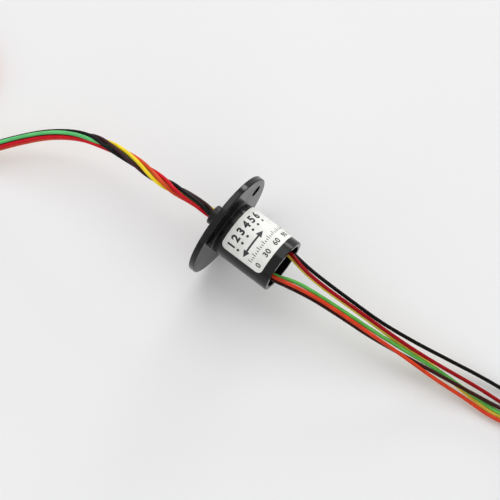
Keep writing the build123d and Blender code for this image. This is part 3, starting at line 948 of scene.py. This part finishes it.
# %% Make the insulators
barrier_cream, tree, shader = start_material("barrier plastic")
tint = place_group(tree, uneven, colour=screen_colour(226, 218, 196),
                   darker_colour=screen_colour(206, 194, 166), scale=400.0)
give_colour(tree, shader, tint["Colour"])
vary_roughness(tree, shader, tint["Depth"], smooth=0.4, rough=0.52)
add_bump(tree, shader, place_group(tree, lathe, scale=7000.0)["Height"], depth_mm=0.004)

board_green, tree, shader = start_material("brush board")
threads = {"Vector": object_place(tree), "Scale": 420.0, "Distortion": 1.0, "Detail": 1.0}
warp, weft = (add_node(tree, "ShaderNodeTexWave", threads, bands_direction=way).outputs["Fac"]
              for way in "XZ")
weave = reckon(tree, "MULTIPLY", warp, weft)
cloth = mix_colours(tree, weave, screen_colour(34, 92, 56), screen_colour(62, 124, 78))
give_colour(tree, shader, cloth)
vary_roughness(tree, shader, weave, smooth=0.3, rough=0.42)
add_bump(tree, shader, weave, depth_mm=0.006)

tie_black, tree, shader = start_material("tie plastic")
ribs = add_node(tree, "ShaderNodeTexWave", {"Vector": object_place(tree), "Scale": 900.0},
                bands_direction="Y")
marks = place_group(tree, handling, smear_scale=600.0)
tint = place_group(tree, uneven, colour=screen_colour(32, 32, 34),
                   darker_colour=screen_colour(20, 20, 22))
give_colour(tree, shader, tint["Colour"])
vary_roughness(tree, shader, marks["Smears"], smooth=0.36, rough=0.5)
add_bump(tree, shader, ribs.outputs["Fac"], depth_mm=0.02)
print("made", barrier_cream.name, board_green.name, tie_black.name)

# %% [markdown]
# ## Dressing every piece
#
# Each solid piece now gets its finish. The table goes by the beginning of a piece's name, so that
# six rings or seven discs need one line.

# %% Put the materials on the solid pieces
finish_of = {"housing": housing_black, "label": film, "end_cap": rotor_black,
             "rotor_core": rotor_black, "clamp_collar": metals["turned aluminium"],
             "retaining_ring": metals["pressed cage steel"], "brush_block": board_green,
             "brush_": metals["drawn brush wire"], "contact_ring": metals["gold plating"],
             "barrier": barrier_cream, "stator_lead": tie_black, "rotor_lead": tie_black}
finish_of_bearing = {"balls": metals["polished ball steel"], "cage": metals["pressed cage steel"],
                     "race": metals["ground bearing steel"]}
for name, piece in nodes.items():
    if "_bearing_" in name:
        finish = next(m for end, m in finish_of_bearing.items() if name.endswith(end))
    else:
        finish = next(m for start, m in finish_of.items() if name.startswith(start))
    piece.data.materials.clear()
    piece.data.materials.append(finish)
for _, tip in leads.values():
    tip.data.materials.append(metals["tinned tip"])
coil_tie.data.materials.clear()
coil_tie.data.materials.append(tie_black)
for piece in (circuit_print, arrow_print, scale_print):
    piece.data.materials.append(ink)

# %% [markdown]
# ## Floor and light
#
# The table is a plain pale floor. It is large enough for any camera round the object, and the
# object rests on it with the flange's rim and the two coils. The light is soft daylight. A large
# panel beyond the object makes the wide, soft shadow on the near side, and a weaker and larger
# one opposite lights the label's dark side and makes a second, faint shadow. A low, narrow window
# adds little to the floor, but the round black barrel mirrors it as a soft highlight. A sky fills
# the rest. It is darker overhead than at the horizon, so that black parts seen from above stay
# black, while a face seen edge-on picks up a grey sheen, and it is a little brighter on the
# window's side.

# %% Lay the floor
floor_half = 2.5
floor_colour, floor_shade = (0.875, 0.875, 0.88, 1.0), (0.855, 0.855, 0.86, 1.0)
floor_mesh = bpy.data.meshes.new("floor")
floor_mesh.from_pydata([(x * floor_half, y * floor_half, cad_box[0].z)
                        for x, y in ((-1, -1), (1, -1), (1, 1), (-1, 1))], [], [(0, 1, 2, 3)])
floor = new_piece("floor", floor_mesh)
paper, tree, shader = start_material("paper floor", roughness=0.9)
tint = place_group(tree, uneven, colour=floor_colour, darker_colour=floor_shade, scale=14.0)
give_colour(tree, shader, tint["Colour"])
add_grain(tree, shader, depth_mm=0.01, strength=0.5, scale=900.0)
floor_mesh.materials.append(paper)
print("floor at", round(cad_box[0].z / mm, 2), "mm")

# %% Sizes of the light
# Power in watts, width and height in metres, and heading and elevation in degrees of each lamp
lamps = {"panel": (10.0, (1.3, 1.3), 122.0, 57.0), "fill": (5.2, (2.2, 2.2), 236.0, 50.0),
         "window": (3.7, (0.5, 0.3), 101.0, 16.0)}
light_distance = 1.6
sky_near_window, sky_far_side, sky_overhead_share = 0.85, 0.62, 0.7


def direction_to(heading, elevation):
    return Vector((math.cos(heading) * math.cos(elevation),
                   math.sin(heading) * math.cos(elevation), math.sin(elevation)))


# %% Spread the sky
world = bpy.data.worlds.new("sky")
world.use_nodes = True
sky = world.node_tree
direction = sky.nodes.new("ShaderNodeTexCoord").outputs["Generated"]
window_side = direction_to(math.radians(lamps["window"][2]), 0.0)
sideways = add_node(sky, "ShaderNodeVectorMath", {0: direction, 1: window_side},
                    operation="DOT_PRODUCT").outputs["Value"]
upwards = add_node(sky, "ShaderNodeSeparateXYZ", {0: direction}).outputs["Z"]
across = spread(sky, sideways, from_range=(-1.0, 1.0), to_range=(sky_far_side, sky_near_window))
overhead = spread(sky, upwards, to_range=(1.0, sky_overhead_share))
background = sky.nodes["Background"].inputs
sky.links.new(reckon(sky, "MULTIPLY", across, overhead), background["Strength"])
background["Color"].default_value = (1.0, 1.0, 1.0, 1.0)
scene.world = world

# %% Hang the lamps
for name, (power, size, heading, elevation) in lamps.items():
    lamp_data = bpy.data.lights.new(name, "AREA")
    lamp_data.shape = "RECTANGLE"
    lamp_data.energy = power
    lamp_data.size, lamp_data.size_y = size
    towards = direction_to(math.radians(heading), math.radians(elevation))
    lamp = new_piece(name, lamp_data)
    lamp.location = look_at + light_distance * towards
    lamp.rotation_mode = "QUATERNION"
    lamp.rotation_quaternion = (-towards).to_track_quat("-Z", "Y")
    print(name, "at", [round(c, 3) for c in lamp.location])
scene.view_settings.view_transform = "Standard"
